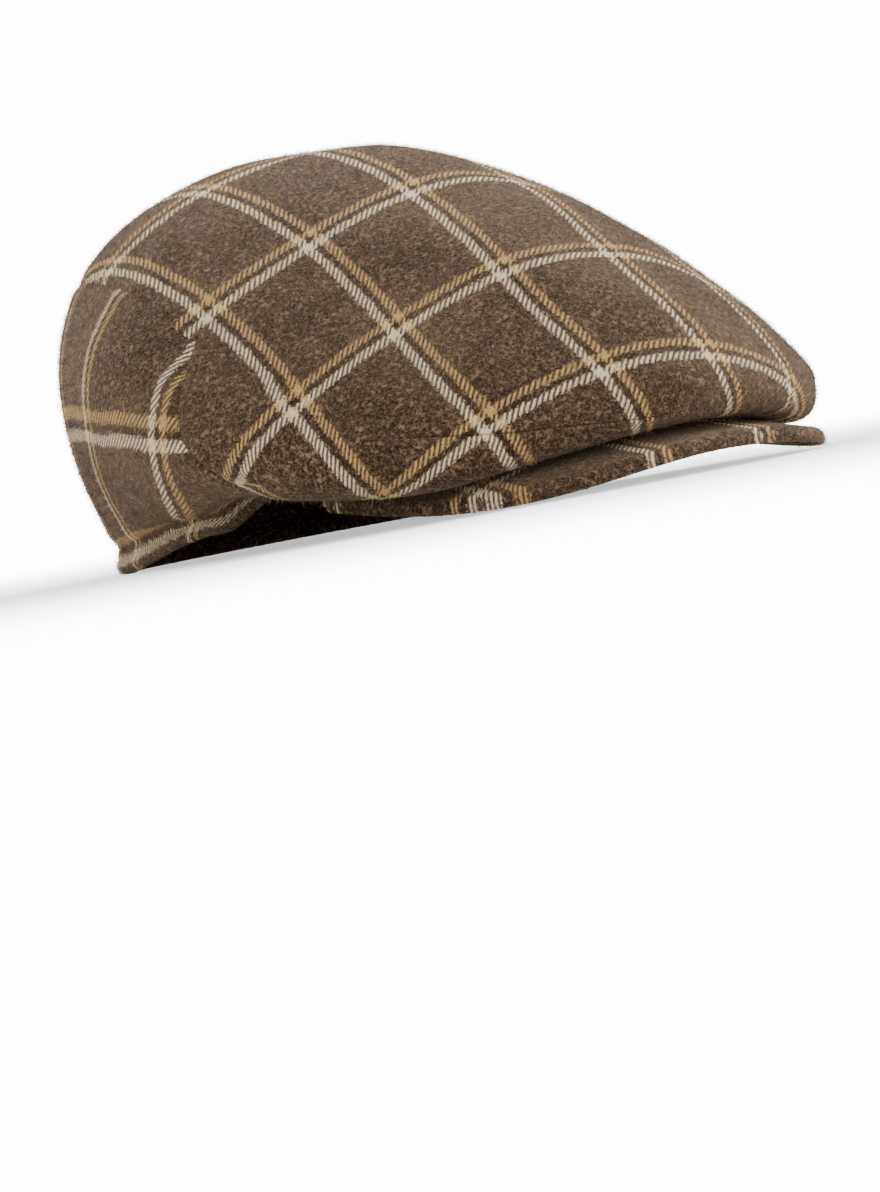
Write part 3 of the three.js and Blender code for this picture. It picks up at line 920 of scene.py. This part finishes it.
def surface_samples(pieces, count, seed):
    """Random places on the outer faces of pieces, by area, with their normals and plaid coordinates."""
    places, normals, uvs, areas = [], [], [], []
    for piece in pieces:
        mesh = piece.data
        mesh.calc_loop_triangles()
        total = len(mesh.loop_triangles)
        corners = np.empty(total * 3, dtype=np.int32)
        loops = np.empty(total * 3, dtype=np.int32)
        mesh.loop_triangles.foreach_get("vertices", corners)
        mesh.loop_triangles.foreach_get("loops", loops)
        points = np.empty(len(mesh.vertices) * 3, dtype=np.float32)
        mesh.vertices.foreach_get("co", points)
        spread = np.empty(len(mesh.loops) * 2, dtype=np.float32)
        mesh.uv_layers["plaid"].uv.foreach_get("vector", spread)
        triangles = points.reshape(-1, 3)[corners].reshape(-1, 3, 3)
        cross = np.cross(triangles[:, 1] - triangles[:, 0], triangles[:, 2] - triangles[:, 0])
        outward = unit(triangles.mean(1) - [0, POLE_Y * MM, INSIDE_HEIGHT * MM])
        facing = (unit(cross) * outward).sum(-1) > OUTWARD_LEAST
        places.append(triangles[facing])
        normals.append(unit(cross)[facing])
        uvs.append(spread.reshape(-1, 2)[loops].reshape(-1, 3, 2)[facing])
        areas.append(np.linalg.norm(cross, axis=-1)[facing])
    places, normals, uvs, areas = map(np.concatenate, (places, normals, uvs, areas))
    rng = np.random.default_rng(seed)
    chosen = rng.choice(len(areas), count, p=areas / areas.sum())
    weights = rng.dirichlet((1, 1, 1), count)
    at = (places[chosen] * weights[..., None]).sum(1)
    uv = (uvs[chosen] * weights[..., None]).sum(1)
    return at / MM, normals[chosen], uv, rng


def wool_nap(name, pieces, count, seed, material):
    at, normal, uv, rng = surface_samples(pieces, count, seed)
    side = unit(np.cross(normal, rng.normal(size=normal.shape)))
    along = side * rng.uniform(*NAP_LEAN_ALONG, (count, 1))
    lean = unit(along + normal * rng.uniform(*NAP_LEAN_OUT, (count, 1)))
    reach = rng.uniform(*NAP_LENGTH, (count, 1)) * rng.uniform(*NAP_SHORTEN, (count, 1))
    across = unit(np.cross(lean, normal))
    third = unit(np.cross(lean, across))
    root = at - normal * NAP_ROOT
    feet = [root + (across * math.cos(a) + third * math.sin(a)) * NAP_WIDTH / 2 for a in NAP_CORNERS]
    points = np.stack([*feet, root + lean * reach], 1).reshape(-1, 3)
    points[:, 2] = np.maximum(points[:, 2], NAP_LOWEST)
    base = np.arange(count)[:, None] * 4
    faces = np.concatenate([base + f for f in ([0, 2, 1], [0, 1, 3], [1, 2, 3], [2, 0, 3])], 0)
    nap = make_mesh(name, points, faces.tolist(), np.repeat(uv, 4, axis=0), material)
    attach(nap, "root")
    return nap


def declare(piece, node):
    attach(piece, "root")
    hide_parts(node)


def build_cap():
    wool = wool_material()
    brushed = brushed_material()
    top = top_panel(wool)
    right = side_panel("side_cloth_right", -1, wool)
    left = side_panel("side_cloth_left", 1, wool)
    front = peak(wool)
    under = under_cloth(brushed)
    declare(top, "crown_top")
    declare(right, "side_panel_right")
    declare(left, "side_panel_left")
    declare(front, "peak")
    declare(under, "peak_under_cloth")
    wool_nap("nap_top", [top], NAP_COUNT_TOP, NAP_SEED_TOP, wool)
    wool_nap("nap_sides", [right, left, front], NAP_COUNT_SIDES, NAP_SEED_SIDES, wool)


# Camera: the photograph's direction, distance, roll and place in the frame, but above the floor
IMAGE_WIDTH = 880
IMAGE_HEIGHT = 1192
PIXELS_PER_METRE = 3294
DISTANCE = 2.2
AZIMUTH = -40.07
ELEVATION = -0.5
ROLL = 10.63
AIM = Vector((0, -0.0034, 0.05))
AIM_PIXEL = (424.2, 352)
SENSOR = 36

# The stage
WORLD_LIGHT = 0.97
BACKGROUND_LIGHT = 14
FLOOR_SHARE = 0.95
FLOOR_FADE = (0.05, 0.8)
FLOOR_REACH = 12
LIGHTS = {
    "key": {"place": (-1.5, -0.6, 2.1), "target": (0, 0, 0.06), "size": 1.3, "power": 13},
    "edge": {"place": (1.6, 0.1, 1.3), "target": (0, 0, 0.08), "size": 1.0, "power": 55},
    "back": {"place": (0.5, 1.7, 1.7), "target": (0, 0, 0.08), "size": 1.2, "power": 55},
}


def set_camera():
    azimuth, elevation, roll = AZIMUTH * DEGREE, ELEVATION * DEGREE, ROLL * DEGREE
    flat = math.cos(elevation)
    back = Vector((math.sin(azimuth) * flat, -math.cos(azimuth) * flat, math.sin(elevation)))
    level = Vector((math.cos(azimuth), math.sin(azimuth), 0))
    upright = back.cross(level)
    right = level * math.cos(roll) - upright * math.sin(roll)
    up = upright * math.cos(roll) + level * math.sin(roll)
    focal = PIXELS_PER_METRE * DISTANCE
    ahead = -back + right * ((IMAGE_WIDTH / 2 - AIM_PIXEL[0]) / focal)
    ahead = (ahead - up * ((IMAGE_HEIGHT / 2 - AIM_PIXEL[1]) / focal)).normalized()
    right = ahead.cross(up).normalized()
    up = right.cross(ahead)
    camera = bpy.data.objects.new("camera", bpy.data.cameras.new("camera"))
    camera.data.sensor_width = SENSOR
    camera.data.lens = focal / IMAGE_HEIGHT * SENSOR
    camera.data.clip_end = 30
    turn = Matrix((right, up, -ahead)).transposed().to_4x4()
    camera.matrix_world = Matrix.Translation(AIM + back * DISTANCE) @ turn
    bpy.context.scene.collection.objects.link(camera)
    bpy.context.scene.camera = camera


def area_light(name, place, target, size, power):
    lamp = bpy.data.lights.new(name, "AREA")
    lamp.shape = "DISK"
    lamp.size = size
    lamp.energy = power
    light = bpy.data.objects.new(name, lamp)
    light.location = place
    light.rotation_euler = (Vector(target) - Vector(place)).to_track_quat("-Z", "Y").to_euler()
    bpy.context.scene.collection.objects.link(light)


def set_floor():
    """A plain white floor that fades into the background away from the cap."""
    mesh = bpy.data.meshes.new("floor")
    corners = [(x * FLOOR_REACH, y * FLOOR_REACH, 0) for x, y in ((-1, -1), (1, -1), (1, 1), (-1, 1))]
    mesh.from_pydata(corners, [], [[0, 1, 2, 3]])
    floor = bpy.data.objects.new("floor", mesh)
    nodes = Nodes("floor_white")
    nodes.shader.inputs["Base Color"].default_value = (0.9, 0.9, 0.9, 1)
    nodes.shader.inputs["Roughness"].default_value = 0.9
    nodes.shader.inputs["Specular IOR Level"].default_value = 0.1
    distance = nodes.add("ShaderNodeVectorMath", operation="LENGTH")
    nodes.put(distance.inputs[0], nodes.add("ShaderNodeTexCoord").outputs["Object"])
    fades = nodes.ramp(distance.outputs["Value"], *FLOOR_FADE, FLOOR_SHARE, 0.0)
    nodes.put(nodes.shader.inputs["Alpha"], fades)
    mesh.materials.append(nodes.material)
    bpy.context.scene.collection.objects.link(floor)


def set_world():
    """Even studio light, with a background that is brighter than the light that it gives."""
    world = bpy.data.worlds.new("studio")
    world.use_nodes = True
    tree = world.node_tree
    background = tree.nodes["Background"]
    background.inputs["Color"].default_value = (1, 1, 1, 1)
    seen = tree.nodes.new("ShaderNodeLightPath").outputs["Is Camera Ray"]
    strength = tree.nodes.new("ShaderNodeMapRange")
    tree.links.new(seen, strength.inputs["Value"])
    strength.inputs["To Min"].default_value = WORLD_LIGHT
    strength.inputs["To Max"].default_value = BACKGROUND_LIGHT
    tree.links.new(strength.outputs["Result"], background.inputs["Strength"])
    bpy.context.scene.world = world


def set_stage():
    set_floor()
    set_world()
    for name, light in LIGHTS.items():
        area_light(name, **light)


set_camera()
build_cap()
set_stage()
